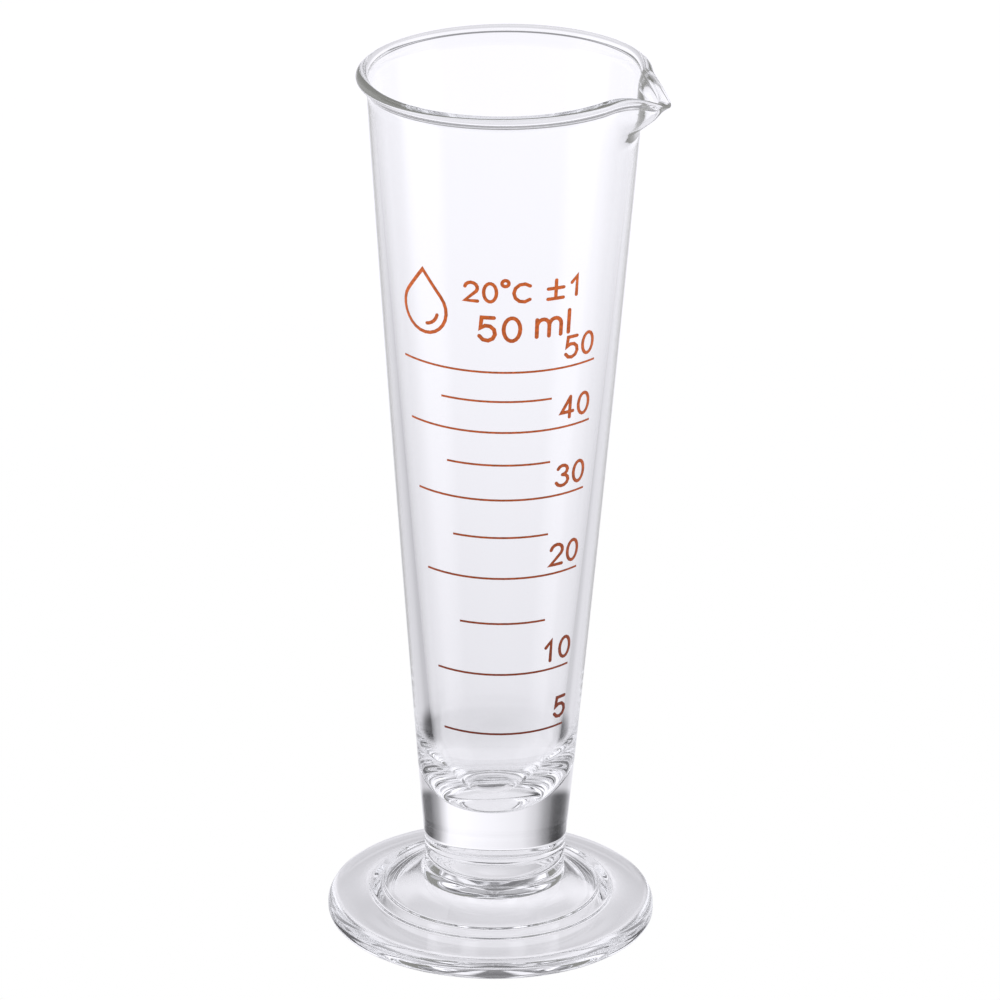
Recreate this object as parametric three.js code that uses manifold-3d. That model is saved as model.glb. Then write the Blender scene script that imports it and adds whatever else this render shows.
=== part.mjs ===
// A 50 ml conical glass measure with a pouring spout, standing on a round foot.
// Two pieces of glass are fused at the neck: the bowl, drawn out of one gather together
// with its solid stem, and the pressed foot. The scale is fired enamel printed on the
// bowl, one node for each separate mark. Millimetres, +Z up. The origin is the centre of
// the ring the foot stands on, the scale faces -Y, and azimuths run from -Y towards +X.
import * as THREE from "three";
import { TessellateModifier } from "three/addons/modifiers/TessellateModifier.js";
import { mergeVertices } from "three/addons/utils/BufferGeometryUtils.js";
import Module from "manifold-3d";

// ---- Driving dimensions, mm ----

const TURNED_SEGMENTS = 72; // facets round each turned piece
const JOIN_HEIGHT = 10.2; // the plane where stem and foot are fused
const NECK_RADIUS = 11.4; // of the groove round that plane

const FOOT = {
  radius: 27.5,
  topRounding: 2.0,
  bottomRounding: 0.7,
  edgeHeight: 3.45,
  flangeInnerHeight: 3.85,
  firstStepRadius: 20.4, // a low ledge runs round the foot between two soft steps
  firstStepHeight: 4.5,
  ledgeClimb: 0.1, // from the first step to the second
  secondStepRadius: 18.2,
  secondStepHeight: 5.3,
  stepRun: 0.5, // half of the width that each step rises over
  domeRun: 1.9, // how far outside the collar, and how far below its base, the curve
  domeDrop: 0.9, // of the dome bends up towards it
  collarFootRadius: 12.05, // the collar narrows a little from its base ...
  collarBase: 7.5,
  collarRadius: 11.8, // ... to its top edge
  collarTop: 9.5,
  collarRounding: 0.35,
  hollowDepth: 6.0, // the underside is pressed hollow, inside a flat ring
  hollowRadius: 19.8,
  hollowPower: 1.9, // 2 would be a parabola; less is more pointed
};

const BOWL = {
  offset: 0.6, // its axis stands this far to +X of the foot's, as fused by hand
  stemRadius: 12.2, // the outer cone runs from the stem ...
  stemHeight: 17.2,
  coneRadius: 22.41, // ... straight up to the flare under the lip
  coneHeight: 147.6,
  coneBulge: 0.26, // how far it swells in the middle
  stemCornerTop: 13.6, // the stem's lower corner is rounded from here down to the neck
  stemCornerLift: 0.6, // how far above the join its curve is aimed
  flareStart: 146.1, // the outside turns outwards about flareTurn, the inside about innerTurn
  flareTurn: 146.9,
  innerStart: 146.6,
  innerTurn: 147.3,
  lipHeight: 149.46,
  lipRadius: 24.05,
  beadWidth: 1.0, // half-width and half-height of the thick bead that the lip ends in
  beadHeight: 0.8,
  lipTilt: 0.02, // rise of the lip per mm towards +X
};

const CAVITY = {
  floorHeight: 21.2, // solid stem below this
  floorRadius: 3.2, // of the flat spot that the forming tool leaves
  floorShift: -0.7, // that spot lies off the bowl's axis
  cornerHeight: 14.0, // how far up the floor's rounded corner reaches
  wallAtLip: 0.9,
  wallGrowth: 0.0158, // how much thicker the wall gets with each mm downwards
};

const SPOUT = {
  azimuth: THREE.MathUtils.degToRad(69.3),
  reach: 3.6, // how far the tip stands out past the lip
  spread: THREE.MathUtils.degToRad(22), // from its middle to where its sides leave the lip
  footSpread: 0.55, // share of that spread where the spout starts
  tipRounding: THREE.MathUtils.degToRad(3.25),
  sideCurve: 2.1, // how sharply its sides draw in towards the tip
  depth: 8, // how far down the wall it is drawn out of
  fullness: 1.0, // how far its underside bulges past an even curve
  droop: 2.45,
  droopCurve: 1.4, // how closely the droop keeps to the tip
  pinch: 0.33, // the wall is nipped in on both sides of it
  pinchWidth: THREE.MathUtils.degToRad(20),
};

const PRINT = {
  thickness: 0.08,
  clearance: 0.03, // keeps the print's facets out of the glass's facets
  longestEdge: 1.7, // of a facet, so that it can follow the glass round
  cuts: 12, // at most this many halvings of a facet
  lineWidth: 0.34,
  penWidth: 0.58,
  boldPenWidth: 0.66,
};

const SCALE = {
  fullVolume: 50,
  lowestVolume: 5,
  step: 5,
  longEvery: 10, // ml between two long lines; the lowest line is long as well
  // Azimuths in degrees where the lines end, at the full mark and at the lowest one. The
  // print sits a little askew, so the left ends drift more than the right ones.
  longLine: { left: [-53.4, -37.5], right: [50.2, 50.2] },
  shortLine: { left: [-31.4, -19.5], right: [25, 31] },
  numeralHeight: 3.64, // of the pen's path, so without the pen's own width
  numeralWidth: 2.22,
  numeralPitch: 3.3,
  numeralLift: 1.56, // from the line up to the lower end of the pen's path
  numeralRight: [48.9, 51.9], // azimuth of the numerals' right edges, as for the lines
};

// Where the heading stands: the rise of each baseline above the full mark, and the drop.
const HEADING = {
  temperatureRise: 12.45,
  capacityRise: 5.6,
  dropRise: 9.6,
  dropAzimuth: THREE.MathUtils.degToRad(-38.6),
};

const GLASS = { color: 0xe9ebf0, roughness: 0.03, metalness: 0, transparent: true, opacity: 0.35 };
const ENAMEL = { color: 0xc25724, roughness: 0.45, metalness: 0 };

// ---- Solids ----

const wasm = await Module();
wasm.setup();

function addNode(parent, name, geometry, look) {
  const mesh = new THREE.Mesh(geometry, new THREE.MeshStandardMaterial(look));
  mesh.name = name;
  parent.add(mesh);
}

// A copy of a geometry that keeps only its positions, with shared vertices merged.
function weld(geometry) {
  const bare = geometry.clone();
  bare.deleteAttribute("normal");
  bare.deleteAttribute("uv");
  return mergeVertices(bare, 1e-4);
}

function toSolid(geometry) {
  const { attributes, index } = weld(geometry);
  const vertProperties = attributes.position.array;
  const triVerts = new Uint32Array(index.array);
  return new wasm.Manifold(new wasm.Mesh({ numProp: 3, vertProperties, triVerts }));
}

function toGeometry(solid) {
  const { vertProperties, triVerts } = solid.getMesh();
  const geometry = new THREE.BufferGeometry();
  geometry.setAttribute("position", new THREE.BufferAttribute(vertProperties, 3));
  geometry.setIndex(new THREE.BufferAttribute(triVerts, 1));
  return geometry;
}

// Turns an outline of [radius, height] points, drawn anticlockwise, about the Z axis.
function turned(outline) {
  return new THREE.LatheGeometry(outline, TURNED_SEGMENTS).rotateX(Math.PI / 2);
}

function point(radius, height) {
  return new THREE.Vector2(radius, height);
}

function bend(from, control, to, divisions) {
  return new THREE.QuadraticBezierCurve(from, control, to).getPoints(divisions);
}

// Points on an arc round a centre, from one angle to another in degrees.
function arc(centre, radius, fromDegrees, toDegrees, divisions) {
  return ellipse(centre, radius, radius, fromDegrees, toDegrees, divisions);
}

function ellipse(centre, halfWidth, halfHeight, fromDegrees, toDegrees, divisions) {
  const from = THREE.MathUtils.degToRad(fromDegrees);
  const to = THREE.MathUtils.degToRad(toDegrees);
  const curve = new THREE.EllipseCurve(centre.x, centre.y, halfWidth, halfHeight, from, to, to < from);
  return curve.getPoints(divisions);
}

// ---- Foot ----

// A soft step in the top of the foot, climbing towards the axis.
function softStep(radius, lowHeight, highHeight) {
  const outer = point(radius + FOOT.stepRun, lowHeight);
  const inner = point(radius - FOOT.stepRun, highHeight);
  const middle = outer.clone().add(inner).multiplyScalar(0.5);
  const foot = point(radius, lowHeight);
  const head = point(radius, highHeight);
  return [...bend(outer, foot, middle, 2), ...bend(middle, head, inner, 2).slice(1)];
}

// The hollow underside, from its crown on the axis to its rim.
function hollow(divisions) {
  return Array.from({ length: divisions + 1 }, (_, i) => {
    const share = i / divisions;
    const height = FOOT.hollowDepth * (1 - share ** FOOT.hollowPower);
    return point(FOOT.hollowRadius * share, height);
  });
}

function footOutline() {
  const { radius, bottomRounding, topRounding, edgeHeight, collarFootRadius, collarRounding } = FOOT;
  const lowCorner = point(radius - bottomRounding, bottomRounding);
  const highCorner = point(radius - topRounding, edgeHeight - topRounding);
  const collarCorner = point(FOOT.collarRadius - collarRounding, FOOT.collarTop - collarRounding);
  const dome = bend(
    point(FOOT.secondStepRadius - FOOT.stepRun, FOOT.secondStepHeight),
    point(collarFootRadius + FOOT.domeRun, FOOT.collarBase - FOOT.domeDrop),
    point(collarFootRadius, FOOT.collarBase),
    4,
  );
  return [
    ...hollow(8),
    ...arc(lowCorner, bottomRounding, -90, 0, 3),
    ...arc(highCorner, topRounding, 0, 86, 5),
    ...softStep(FOOT.firstStepRadius, FOOT.flangeInnerHeight, FOOT.firstStepHeight),
    ...softStep(FOOT.secondStepRadius, FOOT.firstStepHeight + FOOT.ledgeClimb, FOOT.secondStepHeight),
    ...dome.slice(1),
    ...arc(collarCorner, collarRounding, 0, 70, 2),
    point(NECK_RADIUS, JOIN_HEIGHT),
    point(0, JOIN_HEIGHT),
  ];
}

// Leads the top of the foot over to the bowl's axis, so that the two meet at the neck.
function leanCollar(geometry) {
  const position = geometry.getAttribute("position");
  for (let i = 0; i < position.count; i++) {
    const climb = (position.getZ(i) - FOOT.secondStepHeight) / (JOIN_HEIGHT - FOOT.secondStepHeight);
    position.setX(i, position.getX(i) + BOWL.offset * THREE.MathUtils.clamp(climb, 0, 1));
  }
  return geometry;
}

// ---- Bowl ----

// The outer radius of the cone at a height.
function outerRadius(height) {
  const share = (height - BOWL.stemHeight) / (BOWL.coneHeight - BOWL.stemHeight);
  const straight = THREE.MathUtils.lerp(BOWL.stemRadius, BOWL.coneRadius, share);
  return straight + 4 * BOWL.coneBulge * share * (1 - share);
}

// The cavity's radius at a height. The wall thickens downwards, and near the floor the
// cavity narrows along a quarter of an ellipse until only the flat spot is left.
function innerRadius(height) {
  const wall = CAVITY.wallAtLip + CAVITY.wallGrowth * (BOWL.coneHeight - height);
  const cone = outerRadius(height) - wall;
  const depth = 1 - Math.min(1, (height - CAVITY.floorHeight) / CAVITY.cornerHeight);
  const narrowing = 1 - Math.sqrt(1 - depth ** 2);
  return cone - (cone - CAVITY.floorRadius) * narrowing;
}

function coneStretch(radiusAt, from, to, divisions) {
  return Array.from({ length: divisions + 1 }, (_, i) => {
    const height = THREE.MathUtils.lerp(from, to, i / divisions);
    return point(radiusAt(height), height);
  });
}

// The rounded corner of the cavity's floor, from the wall down to the flat spot.
function floorCorner(divisions) {
  return Array.from({ length: divisions }, (_, i) => {
    const turn = ((i + 1) / divisions) * (Math.PI / 2);
    const height = CAVITY.floorHeight + CAVITY.cornerHeight * (1 - Math.sin(turn));
    return point(innerRadius(height), height);
  });
}

function bowlOutline() {
  const bead = point(BOWL.lipRadius - BOWL.beadWidth, BOWL.lipHeight - BOWL.beadHeight);
  const lip = ellipse(bead, BOWL.beadWidth, BOWL.beadHeight, -60, 180, 8);
  const outerStart = point(outerRadius(BOWL.flareStart), BOWL.flareStart);
  const outerTurn = point(outerRadius(BOWL.flareTurn), BOWL.flareTurn);
  const innerTurn = point(innerRadius(BOWL.innerTurn), BOWL.innerTurn);
  const innerEnd = point(innerRadius(BOWL.innerStart), BOWL.innerStart);
  const cornerTop = CAVITY.floorHeight + CAVITY.cornerHeight;
  const spoutFoot = BOWL.lipHeight - SPOUT.depth;
  return [
    point(0, JOIN_HEIGHT),
    ...bend(
      point(NECK_RADIUS, JOIN_HEIGHT),
      point(outerRadius(BOWL.stemCornerTop), JOIN_HEIGHT + BOWL.stemCornerLift),
      point(outerRadius(BOWL.stemCornerTop), BOWL.stemCornerTop),
      3,
    ),
    ...coneStretch(outerRadius, BOWL.stemCornerTop, spoutFoot, 7).slice(1),
    ...coneStretch(outerRadius, spoutFoot, BOWL.flareStart, 2).slice(1, -1),
    ...bend(outerStart, outerTurn, lip[0], 4),
    ...lip.slice(1, -1),
    ...bend(lip.at(-1), innerTurn, innerEnd, 4),
    ...coneStretch(innerRadius, BOWL.innerStart, spoutFoot, 2).slice(1),
    ...coneStretch(innerRadius, spoutFoot, cornerTop, 6).slice(1),
    ...floorCorner(8),
    point(0, CAVITY.floorHeight),
  ];
}

const BULGE_SCALE = 27 / 4; // makes h squared times (1 - h) peak at 1

// Tilts the lip a little and draws the spout out of it: a narrowing channel whose sides
// meet in a rounded, drooping tip, with the wall nipped in beside them.
function shapeLip(geometry) {
  const position = geometry.getAttribute("position");
  for (let i = 0; i < position.count; i++) {
    const [x, y, z] = [position.getX(i), position.getY(i), position.getZ(i)];
    const radius = Math.hypot(x, y);
    const height = (z - BOWL.lipHeight + SPOUT.depth) / SPOUT.depth;
    if (height <= 0 || radius === 0) continue;
    const azimuth = Math.atan2(x, -y);
    const turn = azimuth - SPOUT.azimuth;
    const offset = Math.hypot(Math.atan2(Math.sin(turn), Math.cos(turn)), SPOUT.tipRounding);
    const spread = SPOUT.spread * THREE.MathUtils.lerp(SPOUT.footSpread, 1, height);
    const share = Math.max(0, 1 - (offset - SPOUT.tipRounding) / spread) ** SPOUT.sideCurve;
    const nip = Math.exp(-(((offset - SPOUT.spread) / SPOUT.pinchWidth) ** 2)) * height ** 2;
    const bulge = SPOUT.fullness * BULGE_SCALE * height ** 2 * (1 - height);
    const channel = share * (SPOUT.reach * (1 - (1 - height) ** 3) + bulge);
    const newRadius = radius + channel - SPOUT.pinch * nip;
    const rise = BOWL.lipTilt * x - SPOUT.droop * share ** SPOUT.droopCurve * height;
    position.setX(i, newRadius * Math.sin(azimuth));
    position.setY(i, -newRadius * Math.cos(azimuth));
    position.setZ(i, z + rise * height);
  }
  return geometry;
}

// Moves the flat spot off the axis, and the rounded corner round it with it.
function shiftFloor(geometry) {
  const position = geometry.getAttribute("position");
  for (let i = 0; i < position.count; i++) {
    const [x, y, z] = [position.getX(i), position.getY(i), position.getZ(i)];
    const depth = (CAVITY.floorHeight + CAVITY.cornerHeight - z) / CAVITY.cornerHeight;
    const insideWall = z > JOIN_HEIGHT && Math.hypot(x, y) < outerRadius(z) - CAVITY.wallAtLip;
    if (insideWall && depth > 0) position.setX(i, x + CAVITY.floorShift * depth ** 2);
  }
  return geometry;
}

// ---- Calibration ----

// The height that each volume of liquid stands at, found by adding up thin layers.
function calibrate(volumes) {
  const layer = 0.01;
  const heights = new Map();
  let height = CAVITY.floorHeight;
  let filled = 0; // cubic millimetres
  for (const volume of volumes) {
    while (filled < volume * 1000) {
      filled += Math.PI * innerRadius(height + layer / 2) ** 2 * layer;
      height += layer;
    }
    heights.set(volume, height);
  }
  return heights;
}

// ---- Print ----

const SHARPEST_MITRE = 0.5; // keeps the outline's outer corners from running out into spikes

// The outline that a round pen leaves along a line of points.
function penOutline(points, width) {
  const half = width / 2;
  const left = [];
  const right = [];
  points.forEach((here, i) => {
    const before = points[i - 1] ?? here;
    const after = points[i + 1] ?? here;
    const arriving = here.clone().sub(before).normalize();
    const leaving = after.clone().sub(here).normalize();
    const along = arriving.clone().add(leaving).normalize();
    const edge = points[i + 1] ? leaving : arriving;
    const mitre = half / Math.max(SHARPEST_MITRE, along.dot(edge));
    const across = point(-along.y, along.x).multiplyScalar(mitre);
    left.push(here.clone().add(across));
    right.push(here.clone().sub(across));
  });
  const cap = (end, neighbour) => {
    const out = THREE.MathUtils.radToDeg(end.clone().sub(neighbour).angle());
    return arc(end, half, out + 90, out - 90, 6).slice(1, -1);
  };
  const headCap = cap(points.at(-1), points.at(-2));
  const tailCap = cap(points[0], points[1]);
  return new THREE.Shape([...left, ...headCap, ...right.reverse(), ...tailCap]);
}

function plate(shape) {
  return new THREE.ExtrudeGeometry(shape, {
    depth: PRINT.thickness,
    bevelEnabled: false,
    curveSegments: 9,
  });
}

// Cuts a plate's long facets up, so that it can be laid on the glass.
function cutUp(flat) {
  return new TessellateModifier(PRINT.longestEdge, PRINT.cuts).modify(weld(flat));
}

// A closed ring between two ellipses, such as a nought.
function ring(centre, halfWidth, halfHeight, width) {
  const half = width / 2;
  const shape = new THREE.Shape();
  shape.absellipse(centre.x, centre.y, halfWidth + half, halfHeight + half, 0, 2 * Math.PI);
  const hole = new THREE.Path();
  hole.absellipse(centre.x, centre.y, halfWidth - half, halfHeight - half, 0, 2 * Math.PI);
  shape.holes.push(hole);
  return cutUp(plate(shape));
}

// Joins the strokes of one glyph into a single plate.
function strokes(lines, width) {
  const plates = lines.map((line) => plate(penOutline(line, width)));
  if (plates.length === 1) return cutUp(plates[0]);
  return cutUp(toGeometry(plates.map(toSolid).reduce((sum, next) => sum.add(next))));
}

// An elliptical part of a pen's path, in degrees, inside a glyph of the given size.
function sweep(size, centreX, centreY, halfWidth, halfHeight, fromDegrees, toDegrees) {
  const unit = arc(point(0, 0), 1, fromDegrees, toDegrees, 8);
  return unit.map(({ x, y }) =>
    point((centreX + halfWidth * x) * size.x, (centreY + halfHeight * y) * size.y),
  );
}

function corners(size, ...pairs) {
  return pairs.map(([x, y]) => point(x * size.x, y * size.y));
}

// Each glyph's pen path, as shares of its width and height from its lower left corner.
const GLYPHS = {
  0: (size, pen) => ring(point(size.x / 2, size.y / 2), size.x / 2, size.y / 2, pen),
  1: (size, pen) => strokes([corners(size, [0.22, 0.7], [0.66, 1], [0.66, 0])], pen),
  2: (size, pen) => {
    const top = sweep(size, 0.5, 0.71, 0.5, 0.29, 170, -38);
    return strokes([[...top, ...corners(size, [0, 0], [1, 0])]], pen);
  },
  3: (size, pen) => {
    const upper = sweep(size, 0.48, 0.77, 0.42, 0.23, 160, -90);
    const lower = sweep(size, 0.48, 0.27, 0.52, 0.27, 90, -160);
    return strokes([upper, lower], pen);
  },
  4: (size, pen) => {
    const stem = corners(size, [0.72, 0], [0.72, 1]);
    const slope = corners(size, [0.72, 1], [0, 0.27], [1, 0.27]);
    return strokes([stem, slope], pen);
  },
  5: (size, pen) => {
    const flag = corners(size, [0.92, 1], [0.16, 1]);
    const bowl = sweep(size, 0.48, 0.33, 0.52, 0.33, 140, -155);
    return strokes([[...flag, ...bowl]], pen);
  },
  C: (size, pen) => strokes([sweep(size, 0.5, 0.5, 0.5, 0.5, 48, 312)], pen),
  l: (size, pen) => strokes([corners(size, [0.5, 0], [0.5, 1])], pen),
  m: (size, pen) => {
    const stem = corners(size, [0, 0], [0, 1]);
    const arch = (from) => [
      ...sweep(size, from + 0.25, 0.62, 0.25, 0.38, 170, 0),
      ...corners(size, [from + 0.5, 0]),
    ];
    return strokes([stem, arch(0), arch(0.5)], pen);
  },
  degree: (size, pen) => ring(point(size.x / 2, size.y / 2), size.x / 2, size.y / 2, pen),
  plusMinus: (size, pen) => {
    const upright = corners(size, [0.5, 0], [0.5, 1]);
    const crossbar = corners(size, [0, 0.56], [1, 0.56]);
    const underline = corners(size, [0, 0], [1, 0]);
    return strokes([upright, crossbar, underline], pen);
  },
};

// Lays a flat plate on the cone, with its own origin at an azimuth and a height. Its
// facets have to be small enough to follow the curve.
function layOnGlass(flat, azimuth, height) {
  const laid = weld(flat);
  const position = laid.getAttribute("position");
  const radiusHere = outerRadius(height);
  for (let i = 0; i < position.count; i++) {
    const turn = azimuth + position.getX(i) / radiusHere;
    const z = height + position.getY(i);
    const radius = outerRadius(z) + PRINT.clearance + position.getZ(i);
    position.setXYZ(i, radius * Math.sin(turn), -radius * Math.cos(turn), z);
  }
  return laid;
}

function twoDigits(volume) {
  return String(volume).padStart(2, "0");
}

function isLong(volume) {
  return volume % SCALE.longEvery === 0 || volume === SCALE.lowestVolume;
}

// An azimuth that drifts evenly between its values in degrees at the full and lowest marks.
function azimuthAt(height, marks, [atTop, atBottom]) {
  const [top, bottom] = [marks.get(SCALE.fullVolume), marks.get(SCALE.lowestVolume)];
  const degrees = THREE.MathUtils.mapLinear(height, top, bottom, atTop, atBottom);
  return THREE.MathUtils.degToRad(degrees);
}

function addLine(bowl, volume, marks) {
  const height = marks.get(volume);
  const { left, right } = isLong(volume) ? SCALE.longLine : SCALE.shortLine;
  const start = azimuthAt(height, marks, left);
  const end = azimuthAt(height, marks, right);
  const length = (end - start) * outerRadius(height);
  const pieces = Math.ceil(length / PRINT.longestEdge);
  const line = new THREE.BoxGeometry(length, PRINT.lineWidth, PRINT.thickness, pieces);
  const laid = layOnGlass(line.translate(0, 0, PRINT.thickness / 2), (start + end) / 2, height);
  addNode(bowl, `graduation_line_${twoDigits(volume)}`, laid, ENAMEL);
}

// The number over the right end of a long line, one node for each digit.
function addNumeral(bowl, volume, marks) {
  const digits = [...String(volume)];
  const places = ["tens", "units"].slice(-digits.length);
  const size = point(SCALE.numeralWidth, SCALE.numeralHeight);
  const height = marks.get(volume) + SCALE.numeralLift;
  const radiusHere = outerRadius(height);
  const rightEdge = azimuthAt(height, marks, SCALE.numeralRight) * radiusHere;
  digits.forEach((digit, i) => {
    const fromRight = (digits.length - 1 - i) * SCALE.numeralPitch;
    const along = rightEdge - PRINT.penWidth / 2 - size.x - fromRight;
    const flat = GLYPHS[digit](size, PRINT.penWidth);
    const laid = layOnGlass(flat, along / radiusHere, height);
    addNode(bowl, `numeral_${twoDigits(volume)}_${places[i]}`, laid, ENAMEL);
  });
}

// Prints a row of the heading. Each glyph states its left edge measured along the glass
// from azimuth zero, its lift above the row's baseline, and its width and height.
function addHeading(bowl, row, height, pen) {
  for (const { name, glyph, left, lift = 0, width, tall } of row) {
    const flat = GLYPHS[glyph](point(width, tall), pen);
    const laid = layOnGlass(flat, left / outerRadius(height), height + lift);
    addNode(bowl, name, laid, ENAMEL);
  }
}

const TEMPERATURE_ROW = [
  { name: "temperature_2", glyph: 2, left: -6.05, width: 2.05, tall: 3.2 },
  { name: "temperature_0", glyph: 0, left: -3.0, width: 2.05, tall: 3.2 },
  { name: "temperature_degree", glyph: "degree", left: -0.1, lift: 2.75, width: 1.1, tall: 1.05 },
  { name: "temperature_c", glyph: "C", left: 1.8, width: 3.1, tall: 3.15 },
  { name: "tolerance_plus_minus", glyph: "plusMinus", left: 7.4, lift: 0.1, width: 2.7, tall: 3.2 },
  { name: "tolerance_1", glyph: 1, left: 11.1, lift: 0.1, width: 2.2, tall: 3.3 },
];

const CAPACITY_ROW = [
  { name: "capacity_5", glyph: 5, left: -3.65, width: 2.55, tall: 4.05 },
  { name: "capacity_0", glyph: 0, left: 0.25, width: 2.65, tall: 4.05 },
  { name: "capacity_m", glyph: "m", left: 5.6, lift: 0.5, width: 4.15, tall: 3.0 },
  { name: "capacity_l", glyph: "l", left: 11.0, lift: 0.6, width: 0.3, tall: 3.85 },
];

// A plain outlined drop with one curved highlight, as a symbol for liquid.
function addDrop(bowl, azimuth, height) {
  const belly = 4.2; // radius of the pen's path round the drop's lower part
  const tip = 6.8; // of that path above the belly's centre
  const inset = 1.6; // of the highlight inside the outline
  const half = PRINT.penWidth / 2;
  const outline = (offset) => {
    const radius = belly + offset;
    const tangent = Math.acos(belly / tip);
    const path = new THREE.Shape();
    path.moveTo(0, (tip * radius) / belly);
    path.lineTo(-radius * Math.sin(tangent), radius * Math.cos(tangent));
    path.absarc(0, 0, radius, Math.PI / 2 + tangent, 2.5 * Math.PI - tangent, false);
    return path;
  };
  const shape = outline(half);
  shape.holes.push(outline(-half));
  addNode(bowl, "drop_outline", layOnGlass(cutUp(plate(shape)), azimuth, height), ENAMEL);
  const glint = arc(point(0, 0), belly - inset, -80, -15, 6);
  const highlight = plate(penOutline(glint, PRINT.penWidth));
  addNode(bowl, "drop_highlight", layOnGlass(highlight, azimuth, height), ENAMEL);
}

// ---- Assembly ----

const measure = new THREE.Group();
addNode(measure, "glass_foot", leanCollar(turned(footOutline())), GLASS);

const bowl = new THREE.Group();
bowl.position.x = BOWL.offset;
measure.add(bowl);
addNode(bowl, "glass_bowl", shapeLip(shiftFloor(turned(bowlOutline()))), GLASS);

const volumes = [];
for (let volume = SCALE.lowestVolume; volume <= SCALE.fullVolume; volume += SCALE.step) {
  volumes.push(volume);
}
const marks = calibrate(volumes);
for (const volume of volumes) {
  addLine(bowl, volume, marks);
  if (isLong(volume)) addNumeral(bowl, volume, marks);
}
const fullMark = marks.get(SCALE.fullVolume);
addHeading(bowl, TEMPERATURE_ROW, fullMark + HEADING.temperatureRise, PRINT.penWidth);
addHeading(bowl, CAPACITY_ROW, fullMark + HEADING.capacityRise, PRINT.boldPenWidth);
addDrop(bowl, HEADING.dropAzimuth, fullMark + HEADING.dropRise);

export default measure;
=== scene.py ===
"""Looks for a 50 ml conical glass measure: fine glass, fired enamel print, studio and camera."""

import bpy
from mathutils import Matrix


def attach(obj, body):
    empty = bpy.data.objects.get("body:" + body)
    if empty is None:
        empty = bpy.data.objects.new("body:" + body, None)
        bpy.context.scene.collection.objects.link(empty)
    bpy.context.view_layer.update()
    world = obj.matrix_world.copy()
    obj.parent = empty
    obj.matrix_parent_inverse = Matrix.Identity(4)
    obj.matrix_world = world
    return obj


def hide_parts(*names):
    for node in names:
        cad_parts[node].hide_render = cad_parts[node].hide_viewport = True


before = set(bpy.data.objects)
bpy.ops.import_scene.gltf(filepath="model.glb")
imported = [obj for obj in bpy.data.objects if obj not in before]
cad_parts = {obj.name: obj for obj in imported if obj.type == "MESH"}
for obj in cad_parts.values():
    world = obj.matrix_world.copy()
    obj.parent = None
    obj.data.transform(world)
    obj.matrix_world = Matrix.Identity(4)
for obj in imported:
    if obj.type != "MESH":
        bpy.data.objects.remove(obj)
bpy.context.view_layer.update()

import math

import bpy
import numpy as np
from mathutils import Matrix, Vector

MM = 0.001
JOINT_SLACK = 0.001 * MM  # how far from the joint's plane a point may lie and still count as on it

# ---- Shape of the glass, in millimetres. The bowl's own axis is BOWL_OFFSET from the foot's. ----

AROUND = 288  # points round each turned piece
JOIN_HEIGHT = 10.2  # the plane where stem and foot are fused
NECK_RADIUS = 11.4
BOWL_OFFSET = 0.6

FOOT = dict(
    radius=27.5, top_rounding=2.0, bottom_rounding=0.7, edge_height=3.45, flange_inner_height=3.85,
    first_step_radius=20.4, first_step_height=4.5, ledge_climb=0.1,
    second_step_radius=18.2, second_step_height=5.3, step_run=0.5,
    dome_run=1.9, dome_drop=0.9, collar_foot_radius=12.05, collar_base=7.5,
    collar_radius=11.8, collar_top=9.5, collar_rounding=0.35,
    hollow_depth=6.0, hollow_radius=19.8, hollow_power=1.9,
)
# The pressed edge wanders inwards: how far, from which radius outwards, and as which waves
# (times round the foot, height, phase).
WANDER = 0.05
WANDER_START = 22.0
WAVES = [(3, 1.0, 0.6), (7, 0.6, 2.1), (17, 0.4, 0.0)]

BOWL = dict(
    stem_radius=12.2, stem_height=17.2, cone_radius=22.41, cone_height=147.6, cone_bulge=0.26,
    stem_corner_top=13.6, stem_corner_lift=0.6, flare_start=146.1, flare_turn=146.9,
    inner_start=146.6, inner_turn=147.3, lip_height=149.46, lip_radius=24.05,
    bead_width=1.0, bead_height=0.8, lip_tilt=0.02,
)
CAVITY = dict(
    floor_height=21.2, floor_radius=3.2, floor_shift=-0.7, corner_height=14.0,
    wall_at_lip=0.9, wall_growth=0.0158,
)
SPOUT = dict(
    azimuth=math.radians(69.3), reach=3.6, spread=math.radians(22), foot_spread=0.55,
    tip_rounding=math.radians(3.25), side_curve=2.1, depth=8.0, fullness=1.0, droop=2.45,
    droop_curve=1.4, pinch=0.33, pinch_width=math.radians(20),
)
BULGE_SCALE = 27 / 4  # makes h squared times (1 - h) peak at 1


# ---- Outlines ----

def bend(start, control, end, count):
    """Points on a quadratic curve."""
    t = np.linspace(0, 1, count + 1)[:, None]
    start, control, end = map(np.asarray, (start, control, end))
    return (1 - t) ** 2 * start + 2 * t * (1 - t) * control + t ** 2 * end


def arc(centre, radius, from_degrees, to_degrees, count):
    """Points on an arc. The radius may be a pair, for an ellipse."""
    turn = np.radians(np.linspace(from_degrees, to_degrees, count + 1))
    return np.asarray(centre) + np.asarray(radius) * np.stack([np.cos(turn), np.sin(turn)], 1)


def outer_radius(height):
    """The cone's outer radius."""
    share = (height - BOWL["stem_height"]) / (BOWL["cone_height"] - BOWL["stem_height"])
    straight = BOWL["stem_radius"] + (BOWL["cone_radius"] - BOWL["stem_radius"]) * share
    return straight + 4 * BOWL["cone_bulge"] * share * (1 - share)


def inner_radius(height):
    """The cavity's radius: the wall thickens downwards, and the floor's corner is elliptical."""
    wall = CAVITY["wall_at_lip"] + CAVITY["wall_growth"] * (BOWL["cone_height"] - height)
    cone = outer_radius(height) - wall
    depth = 1 - np.minimum(1, (height - CAVITY["floor_height"]) / CAVITY["corner_height"])
    return cone - (cone - CAVITY["floor_radius"]) * (1 - np.sqrt(1 - depth ** 2))


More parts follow.
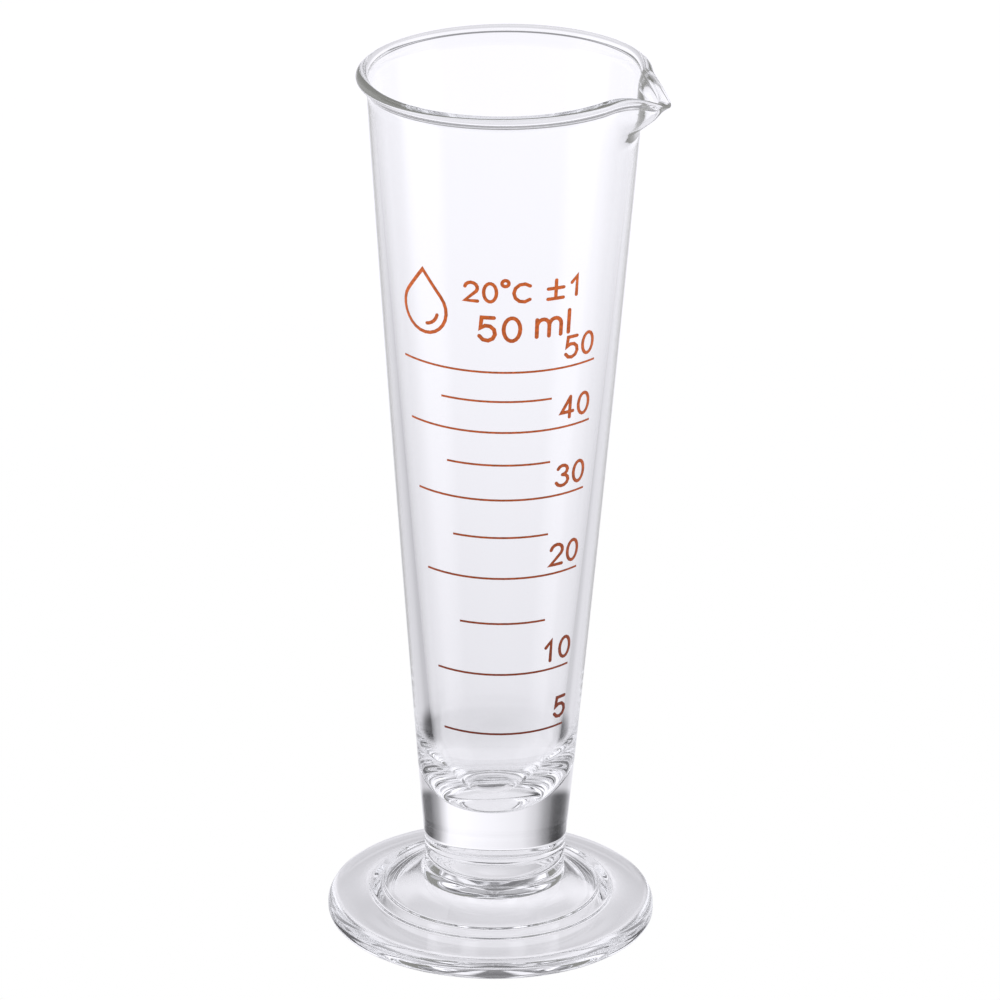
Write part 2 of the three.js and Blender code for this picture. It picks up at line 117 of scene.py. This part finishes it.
def stretch(radius_at, start, end, count):
    """Points up or down the cone between two heights."""
    height = np.linspace(start, end, count + 1)
    return np.stack([radius_at(height), height], 1)


def soft_step(radius, low, high, count):
    """A soft step in the top of the foot, climbing towards the axis."""
    outer = np.array((radius + FOOT["step_run"], low))
    inner = np.array((radius - FOOT["step_run"], high))
    middle = (outer + inner) / 2
    foot_half = bend(outer, (radius, low), middle, count)
    head_half = bend(middle, (radius, high), inner, count)
    return np.concatenate([foot_half, head_half[1:]])


def foot_outline():
    f = FOOT
    share = np.linspace(0, 1, 60)
    hollow_height = f["hollow_depth"] * (1 - share ** f["hollow_power"])
    hollow = np.stack([f["hollow_radius"] * share, hollow_height], 1)
    low_corner = (f["radius"] - f["bottom_rounding"], f["bottom_rounding"])
    high_corner = (f["radius"] - f["top_rounding"], f["edge_height"] - f["top_rounding"])
    edge = arc(high_corner, f["top_rounding"], 0, 86, 14)
    first_step = soft_step(f["first_step_radius"], f["flange_inner_height"], f["first_step_height"], 6)
    ledge_height = f["first_step_height"] + f["ledge_climb"]
    second_step = soft_step(f["second_step_radius"], ledge_height, f["second_step_height"], 6)
    dome_aim = (f["collar_foot_radius"] + f["dome_run"], f["collar_base"] - f["dome_drop"])
    dome = bend(second_step[-1], dome_aim, (f["collar_foot_radius"], f["collar_base"]), 16)
    collar_corner = (f["collar_radius"] - f["collar_rounding"], f["collar_top"] - f["collar_rounding"])
    return np.concatenate([
        hollow,
        arc(low_corner, f["bottom_rounding"], -90, 0, 8),
        edge,
        bend(edge[-1], (edge[-1] + first_step[0]) / 2, first_step[0], 8)[1:-1],
        first_step,
        second_step,
        dome[1:],
        arc(collar_corner, f["collar_rounding"], 0, 70, 8),
        [(NECK_RADIUS, JOIN_HEIGHT), (0, JOIN_HEIGHT)],
    ])


def bowl_outline():
    b, c = BOWL, CAVITY
    bead = np.array((b["bead_width"], b["bead_height"]))
    lip = arc(np.array((b["lip_radius"], b["lip_height"])) - bead, bead, -60, 180, 28)
    stem_corner = (outer_radius(b["stem_corner_top"]), b["stem_corner_top"])
    stem_corner_aim = (stem_corner[0], JOIN_HEIGHT + b["stem_corner_lift"])
    outer_start = (outer_radius(b["flare_start"]), b["flare_start"])
    outer_turn = (outer_radius(b["flare_turn"]), b["flare_turn"])
    inner_turn = (inner_radius(b["inner_turn"]), b["inner_turn"])
    inner_start = (inner_radius(b["inner_start"]), b["inner_start"])
    cavity_corner = c["floor_height"] + c["corner_height"]
    sweep = np.linspace(0, math.pi / 2, 41)[1:]
    corner_heights = c["floor_height"] + c["corner_height"] * (1 - np.sin(sweep))
    floor = np.linspace(c["floor_radius"], 0, 12)[1:]
    return np.concatenate([
        [(0, JOIN_HEIGHT)],
        bend((NECK_RADIUS, JOIN_HEIGHT), stem_corner_aim, stem_corner, 10),
        stretch(outer_radius, b["stem_corner_top"], b["flare_start"], 90)[1:-1],
        bend(outer_start, outer_turn, lip[0], 12),
        lip[1:-1],
        bend(lip[-1], inner_turn, inner_start, 12),
        stretch(inner_radius, b["inner_start"], cavity_corner, 80)[1:],
        np.stack([inner_radius(corner_heights), corner_heights], 1),
        np.stack([floor, np.full(len(floor), c["floor_height"])], 1),
    ])


# ---- Meshes ----

def turned(name, outline, shape):
    """A closed piece of revolution, whose points are then moved by shape().

    The outline starts and ends on the axis, and runs anticlockwise.
    """
    rings = outline[1:-1]
    turn = np.linspace(0, 2 * math.pi, AROUND, endpoint=False)
    radius, height = rings[:, :1], rings[:, 1:]
    round_points = np.stack([radius * np.sin(turn), -radius * np.cos(turn), height + 0 * turn], 2)
    ends = np.array([(0, 0, outline[0][1]), (0, 0, outline[-1][1])])
    points = shape(np.concatenate([round_points.reshape(-1, 3), ends]))
    first, last = len(points) - 2, len(points) - 1
    top = (len(rings) - 1) * AROUND
    faces = []
    for j in range(AROUND):
        k = (j + 1) % AROUND
        faces.append((first, k, j))
        faces.append((last, top + j, top + k))
        for low in range(0, top, AROUND):
            high = low + AROUND
            faces.append((low + j, low + k, high + k, high + j))
    mesh = bpy.data.meshes.new(name)
    mesh.from_pydata((points * MM).tolist(), [], faces)
    mesh.validate()
    mesh.update()
    mesh.polygons.foreach_set("use_smooth", [True] * len(mesh.polygons))
    piece = bpy.data.objects.new(name, mesh)
    bpy.context.scene.collection.objects.link(piece)
    return piece


def shape_foot(points):
    """Lets the pressed edge wander a little, and leads the collar over to the bowl's axis."""
    x, y, z = points.T
    azimuth = np.arctan2(x, -y)
    reach = np.clip((np.hypot(x, y) - WANDER_START) / (FOOT["radius"] - WANDER_START), 0, 1)
    waves = sum(height * np.sin(times * azimuth + phase) for times, height, phase in WAVES)
    spread = -WANDER * reach * (1 + waves / 2)
    climb = (z - FOOT["second_step_height"]) / (JOIN_HEIGHT - FOOT["second_step_height"])
    lean = BOWL_OFFSET * np.clip(climb, 0, 1)
    return np.stack([x + spread * np.sin(azimuth) + lean, y - spread * np.cos(azimuth), z], 1)


def shape_bowl(points):
    """Tilts the lip, draws the spout out, shifts the cavity's floor, and puts the bowl on its own axis."""
    s, c = SPOUT, CAVITY
    x, y, z = points.T
    radius = np.hypot(x, y)
    height = np.clip((z - BOWL["lip_height"] + s["depth"]) / s["depth"], 0, None)
    azimuth = np.arctan2(x, -y)
    turn = azimuth - s["azimuth"]
    offset = np.hypot(np.arctan2(np.sin(turn), np.cos(turn)), s["tip_rounding"])
    spread = s["spread"] * (s["foot_spread"] + (1 - s["foot_spread"]) * height)
    share = np.clip(1 - (offset - s["tip_rounding"]) / spread, 0, None) ** s["side_curve"]
    nip = np.exp(-((offset - s["spread"]) / s["pinch_width"]) ** 2) * height ** 2
    bulge = s["fullness"] * BULGE_SCALE * height ** 2 * (1 - height)
    channel = share * (s["reach"] * (1 - (1 - height) ** 3) + bulge)
    moved = np.where(height > 0, radius + channel - s["pinch"] * nip, radius)
    rise = BOWL["lip_tilt"] * x - s["droop"] * share ** s["droop_curve"] * height
    depth = (c["floor_height"] + c["corner_height"] - z) / c["corner_height"]
    inside_wall = (z > JOIN_HEIGHT) & (radius < outer_radius(z) - c["wall_at_lip"])
    shift = BOWL_OFFSET + np.where(inside_wall & (depth > 0), c["floor_shift"] * depth ** 2, 0)
    return np.stack([moved * np.sin(azimuth) + shift, -moved * np.cos(azimuth), z + rise * height], 1)


# ---- Nodes ----

def add_node(tree, kind, settings=None, inputs=None):
    """Adds a node. An input may be a value or another node's output."""
    node = tree.nodes.new(kind)
    for name, value in (settings or {}).items():
        setattr(node, name, value)
    for name, value in (inputs or {}).items():
        if isinstance(value, bpy.types.NodeSocket):
            tree.links.new(value, node.inputs[name])
        else:
            node.inputs[name].default_value = value
    return node


def compute(tree, operation, *values):
    return add_node(tree, "ShaderNodeMath", {"operation": operation}, dict(enumerate(values))).outputs[0]


def compute_vector(tree, operation, inputs):
    return add_node(tree, "ShaderNodeVectorMath", {"operation": operation}, inputs)


def ease(tree, value, edge, below, above):
    """Goes smoothly from one level to another as the value crosses an edge."""
    limits = {"Value": value, "From Min": edge[0], "From Max": edge[1]}
    share = add_node(tree, "ShaderNodeMapRange", {"interpolation_type": "SMOOTHSTEP"}, limits).outputs[0]
    step = compute(tree, "SUBTRACT", above, below)
    return compute(tree, "MULTIPLY_ADD", step, share, below)


def new_material(name):
    material = bpy.data.materials.new(name)
    material.use_nodes = True
    material.node_tree.nodes.clear()
    return material, material.node_tree


def mix_shaders(tree, share, first, second):
    inputs = {0: share, 1: first.outputs[0], 2: second.outputs[0]}
    return add_node(tree, "ShaderNodeMixShader", None, inputs).outputs[0]


def finish_material(tree, surface):
    add_node(tree, "ShaderNodeOutputMaterial", None, {"Surface": surface})


# ---- Materials ----

GLASS_COLOUR = (0.996, 0.997, 0.998, 1)
GLASS_IOR = 1.515
TRAPPED_AFTER = 24  # reflections after which light counts as caught in the glass; from then on the glass shows a painted pale grey glow
# Painted light: the fixed pale grey that the glass gives off once a ray is caught, in place of traced
# light.
PAINTED_TRAPPED_GLOW = (0.26, 0.256, 0.235, 1)
PRESSED_BELOW = (0.012, 0.017)  # metres: pressed glass has rings, drawn glass above it has upright cords
RING_DEPTH = 0.000018  # metres
RINGS_PER_METRE = 450
RING_BREAKS = 1.5  # how much a ring changes on its way round
CORD_DEPTH = 0.0000015  # metres
CORDS_ROUND = 14
CORD_BREAKS_PER_METRE = 25

ENAMEL_HEIGHTS = (0.033, 0.122)  # metres: over these heights the enamel's colour runs from darker at the bottom to lighter above
ENAMEL_LOW = (0.19, 0.026, 0.007, 1)
ENAMEL_HIGH = (0.85, 0.176, 0.028, 1)
GRAIN_SCALE = 1800  # per metre
GRAIN_DEPTH = 0.00001  # metres
GRAIN_RANGE = (0.3, 0.7)  # from thin to thick enamel, as the noise gives it
THIN_BRIGHTNESS, THICK_BRIGHTNESS = 0.75, 1.15
THIN_ROUGHNESS, THICK_ROUGHNESS = 0.5, 0.35
ENAMEL_GLOSS = 0.25


def streaks(tree):
    """How far the glass's surface rises and falls, in metres."""
    place = add_node(tree, "ShaderNodeTexCoord").outputs["Object"]
    split = add_node(tree, "ShaderNodeSeparateXYZ", None, {0: place})
    flat = add_node(tree, "ShaderNodeCombineXYZ", None, {"X": split.outputs["X"], "Y": split.outputs["Y"]})
    radius = compute_vector(tree, "LENGTH", {0: flat.outputs[0]}).outputs["Value"]
    heading = compute_vector(tree, "NORMALIZE", {0: flat.outputs[0]}).outputs[0]
    height = split.outputs["Z"]

    def noise(round_scale, along):
        wide = compute_vector(tree, "SCALE", {0: heading, "Scale": round_scale}).outputs[0]
        lift = add_node(tree, "ShaderNodeCombineXYZ", None, {"Z": along}).outputs[0]
        where = compute_vector(tree, "ADD", {0: wide, 1: lift}).outputs[0]
        inputs = {"Vector": where, "Scale": 1, "Detail": 2}
        return add_node(tree, "ShaderNodeTexNoise", None, inputs).outputs[0]

    inwards = compute(tree, "SUBTRACT", height, radius)
    rings = noise(RING_BREAKS, compute(tree, "MULTIPLY", inwards, RINGS_PER_METRE))
    cords = noise(CORDS_ROUND, compute(tree, "MULTIPLY", height, CORD_BREAKS_PER_METRE))
    ring_rise = compute(tree, "MULTIPLY", rings, RING_DEPTH)
    cord_rise = compute(tree, "MULTIPLY", cords, CORD_DEPTH)
    return ease(tree, height, PRESSED_BELOW, ring_rise, cord_rise)


def glass_material():
    material, tree = new_material("clear_glass")
    bump = add_node(tree, "ShaderNodeBump", None, {"Height": streaks(tree), "Distance": 1})
    inputs = {"Color": GLASS_COLOUR, "IOR": GLASS_IOR, "Roughness": 0, "Normal": bump.outputs[0]}
    glass = add_node(tree, "ShaderNodeBsdfGlass", None, inputs)
    # Past TRAPPED_AFTER the glass shows painted light: a fixed pale grey glow instead of traced light.
    painted_glow = add_node(tree, "ShaderNodeEmission", None, {"Color": PAINTED_TRAPPED_GLOW})
    ray_depth = add_node(tree, "ShaderNodeLightPath").outputs["Ray Depth"]
    is_trapped = compute(tree, "GREATER_THAN", ray_depth, TRAPPED_AFTER)
    finish_material(tree, mix_shaders(tree, is_trapped, glass, painted_glow))
    return material


def joint_material():
    """The fused joint: glass meets glass there, so light goes straight through."""
    material, tree = new_material("fused_joint")
    finish_material(tree, add_node(tree, "ShaderNodeBsdfTransparent").outputs[0])
    return material


def enamel_material():
    """Fired enamel, left out of the reflections inside the glass."""
    material, tree = new_material("orange_enamel")
    place = add_node(tree, "ShaderNodeTexCoord").outputs["Object"]
    height = add_node(tree, "ShaderNodeSeparateXYZ", None, {0: place}).outputs["Z"]
    limits = {"Value": height, "From Min": ENAMEL_HEIGHTS[0], "From Max": ENAMEL_HEIGHTS[1]}
    climb = add_node(tree, "ShaderNodeMapRange", None, limits).outputs[0]
    ramp = add_node(tree, "ShaderNodeValToRGB", None, {0: climb})
    ramp.color_ramp.elements[0].color = ENAMEL_LOW
    ramp.color_ramp.elements[1].color = ENAMEL_HIGH
    noise = {"Vector": place, "Scale": GRAIN_SCALE, "Detail": 3}
    grain = add_node(tree, "ShaderNodeTexNoise", None, noise).outputs[0]
    cover = ease(tree, grain, GRAIN_RANGE, THIN_BRIGHTNESS, THICK_BRIGHTNESS)
    bump = add_node(tree, "ShaderNodeBump", None, {"Height": grain, "Distance": GRAIN_DEPTH})
    paint = add_node(tree, "ShaderNodeBsdfPrincipled", None, {
        "Base Color": compute_vector(tree, "SCALE", {0: ramp.outputs[0], "Scale": cover}).outputs[0],
        "Roughness": ease(tree, grain, GRAIN_RANGE, THIN_ROUGHNESS, THICK_ROUGHNESS),
        "Specular IOR Level": ENAMEL_GLOSS,
        "Normal": bump.outputs[0],
    })
    clear = add_node(tree, "ShaderNodeBsdfTransparent")
    reflections = add_node(tree, "ShaderNodeLightPath").outputs["Glossy Depth"]
    finish_material(tree, mix_shaders(tree, reflections, paint, clear))
    return material


# ---- Pieces ----

def is_on_joint(mesh, face):
    height = JOIN_HEIGHT * MM
    return all(math.isclose(mesh.vertices[i].co.z, height, abs_tol=JOINT_SLACK) for i in face.vertices)


def add_glass(piece, node, looks):
    for look in looks:
        piece.data.materials.append(look)
    for face in piece.data.polygons:
        face.material_index = int(is_on_joint(piece.data, face))
    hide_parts(node)
    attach(piece, "root")


GLASS_LOOKS = [glass_material(), joint_material()]
add_glass(turned("foot_glass", foot_outline(), shape_foot), "glass_foot", GLASS_LOOKS)
add_glass(turned("bowl_glass", bowl_outline(), shape_bowl), "glass_bowl", GLASS_LOOKS)

ENAMEL_LOOK = enamel_material()
for name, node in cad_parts.items():
    if not name.startswith("glass_"):
        node.data.materials.clear()
        node.data.materials.append(ENAMEL_LOOK)


# ---- Studio ----

# How bright the studio is in each direction, as (degrees, brightness) pairs. The azimuth is
# counted to the right from the camera's own heading. Below the horizon lies the table, whose
# part near the measure has two dark cards beside it. Above the horizon stands the wall, and
# over it hangs the ceiling with its lamps. Straight down is the floor.
NEAR_LIGHT = [(-180, 0.9), (-125, 0.9), (-115, 1.35), (-84, 1.35), (-74, 0.12), (-50, 0.05), (-40, 0.08),
              (-32, 0.3), (-25, 0.6), (-16, 0.85), (0, 0.95), (20, 1.05), (31, 1.0), (40, 0.45),
              (52, 0.12), (70, 0.1), (84, 1.35), (115, 1.35), (125, 0.9), (180, 0.9)]
FAR_LIGHT = [(-180, 0.9), (-125, 0.9), (-115, 1.35), (-84, 1.35), (-74, 0.75), (-44, 0.7), (-36, 0.85),
             (-28, 0.95), (-14, 1.0), (30, 1.05), (37, 1.0), (44, 0.8), (68, 0.75), (84, 1.35),
             (115, 1.35), (125, 0.9), (180, 0.9)]
WALL_LIGHT = [(-180, 0.15), (-125, 0.4), (-110, 1.1), (-40, 1.1), (-25, 0.5), (-12, 0.25), (12, 0.25),
              (25, 0.5), (40, 1.1), (110, 1.1), (125, 0.4), (180, 0.15)]
CEILING_LIGHT = [(-180, 0.5), (-70, 0.5), (-50, 0.1), (-30, 0.1), (-24, 1.0), (-16, 1.0), (-10, 0.18),
                 (10, 0.18), (16, 1.0), (24, 1.0), (30, 0.1), (50, 0.1), (70, 0.5), (180, 0.5)]
FLOOR_LIGHT = 0.85
# Degrees of elevation over which the floor gives way to the table, then to the wall and to the ceiling.
FLOOR_EDGE, TABLE_EDGE, WALL_EDGE = (-42, -32), (-2, 6), (30, 40)
SLOPE_EDGE = (-27.5, -20)  # degrees of elevation over which the table brightens towards the horizon
SLOPE_START = 0.76
NEAR_REACH = (0.068, 0.075)  # metres from the axis over which the near table gives way to the far one
TINT = (1.0, 0.99, 1.045)
FLOOR_RADIUS = 6  # metres
FLOOR_GAP = 0.0002  # metres between the floor and the foot


def radians(edge):
    return tuple(map(math.radians, edge))


def brightness_round(tree, azimuth, stops):
    """A colour ramp over the whole turn, scaled so that a stop may be brighter than white."""
    turn = compute(tree, "MULTIPLY_ADD", azimuth, 1 / (2 * math.pi), 0.5)
    ramp = add_node(tree, "ShaderNodeValToRGB", None, {0: turn})
    peak = max(level for place, level in stops)
    elements = ramp.color_ramp.elements
    while len(elements) < len(stops):
        elements.new(0.5)
    for element, (degrees, level) in zip(elements, stops):
        element.position = degrees / 360 + 0.5
        element.color = (level / peak, level / peak, level / peak, 1)
    return compute(tree, "MULTIPLY", ramp.outputs[0], peak)


def look_direction(tree, ray):
    """The azimuth and elevation of a ray, with the azimuth counted from the camera's heading."""
    ray = add_node(tree, "ShaderNodeSeparateXYZ", None, {0: ray}).outputs
    frames = {"vector_type": "VECTOR", "convert_from": "CAMERA", "convert_to": "WORLD"}
    right = add_node(tree, "ShaderNodeVectorTransform", frames, {0: (1, 0, 0)}).outputs[0]
    right = add_node(tree, "ShaderNodeSeparateXYZ", None, {0: right}).outputs
    # With the camera's right hand at (x, y), its own heading is (-y, x).
    sideways_x = compute(tree, "MULTIPLY", ray["X"], right["X"])
    sideways_y = compute(tree, "MULTIPLY", ray["Y"], right["Y"])
    onwards_x = compute(tree, "MULTIPLY", ray["X"], right["Y"])
    onwards_y = compute(tree, "MULTIPLY", ray["Y"], right["X"])
    sideways = compute(tree, "ADD", sideways_x, sideways_y)
    onwards = compute(tree, "SUBTRACT", onwards_y, onwards_x)
    return compute(tree, "ARCTAN2", sideways, onwards), compute(tree, "ARCSINE", ray["Z"])


def studio_light():
    """A node group that gives the studio's light along the ray. The camera itself sees plain white."""
    tree = bpy.data.node_groups.new("studio_light", "ShaderNodeTree")
    tree.interface.new_socket("Light", in_out="OUTPUT", socket_type="NodeSocketColor")
    geometry = add_node(tree, "ShaderNodeNewGeometry").outputs
    ray = compute_vector(tree, "SCALE", {0: geometry["Incoming"], "Scale": -1}).outputs[0]
    azimuth, elevation = look_direction(tree, ray)
    from_axis = compute_vector(tree, "LENGTH", {0: geometry["Position"]}).outputs["Value"]
    near = brightness_round(tree, azimuth, NEAR_LIGHT)
    far = brightness_round(tree, azimuth, FAR_LIGHT)
    table = ease(tree, from_axis, NEAR_REACH, near, far)
    slope = ease(tree, elevation, radians(SLOPE_EDGE), SLOPE_START, 1)
    light = compute(tree, "MULTIPLY", table, slope)
    light = ease(tree, elevation, radians(FLOOR_EDGE), FLOOR_LIGHT, light)
    light = ease(tree, elevation, radians(TABLE_EDGE), light, brightness_round(tree, azimuth, WALL_LIGHT))
    light = ease(tree, elevation, radians(WALL_EDGE), light, brightness_round(tree, azimuth, CEILING_LIGHT))
    tinted = compute_vector(tree, "SCALE", {0: TINT, "Scale": light}).outputs[0]
    to_camera = add_node(tree, "ShaderNodeLightPath").outputs["Is Camera Ray"]
    seen = compute_vector(tree, "MAXIMUM", {0: tinted, 1: to_camera}).outputs[0]
    add_node(tree, "NodeGroupOutput", None, {0: seen})
    return tree


def add_floor(studio):
    look, tree = new_material("studio_floor")
    light = add_node(tree, "ShaderNodeGroup", {"node_tree": studio}).outputs[0]
    finish_material(tree, add_node(tree, "ShaderNodeEmission", None, {"Color": light}).outputs[0])
    below = (0, 0, -FLOOR_GAP)
    bpy.ops.mesh.primitive_circle_add(vertices=96, radius=FLOOR_RADIUS, fill_type="NGON", location=below)
    floor = bpy.context.object
    floor.name = "floor"
    floor.data.materials.append(look)


def add_world(studio):
    world = bpy.data.worlds.new("studio")
    world.use_nodes = True
    tree = world.node_tree
    light = add_node(tree, "ShaderNodeGroup", {"node_tree": studio}).outputs[0]
    tree.links.new(light, tree.nodes["Background"].inputs["Color"])
    bpy.context.scene.world = world


STUDIO = studio_light()
add_floor(STUDIO)
add_world(STUDIO)


# ---- Camera ----

CAMERA_PLACE = (0, -0.9783, 0.4822)  # metres
CAMERA_PITCH, CAMERA_HEADING, CAMERA_ROLL = 0.39471, 0.000679, 0.013787  # radians
CAMERA_LENS, SENSOR_WIDTH = 231.4, 36  # millimetres
LIGHT_BOUNCES = 40  # thick glass needs many


def add_camera():
    right = Vector((math.cos(CAMERA_HEADING), -math.sin(CAMERA_HEADING), 0))
    level = Vector((-right.y, right.x, 0))
    forward = level * math.cos(CAMERA_PITCH) - Vector((0, 0, math.sin(CAMERA_PITCH)))
    turn = Matrix((right, right.cross(forward), -forward)).transposed()
    turn = turn @ Matrix.Rotation(CAMERA_ROLL, 3, "Z")
    data = bpy.data.cameras.new("camera")
    data.sensor_width = SENSOR_WIDTH
    data.lens = CAMERA_LENS
    camera = bpy.data.objects.new("camera", data)
    camera.matrix_world = Matrix.Translation(CAMERA_PLACE) @ turn.to_4x4()
    bpy.context.scene.collection.objects.link(camera)
    bpy.context.scene.camera = camera


add_camera()
bpy.context.scene.view_settings.view_transform = "Standard"
bpy.context.scene.cycles.max_bounces = LIGHT_BOUNCES
bpy.context.scene.cycles.transmission_bounces = LIGHT_BOUNCES
bpy.context.scene.cycles.glossy_bounces = LIGHT_BOUNCES
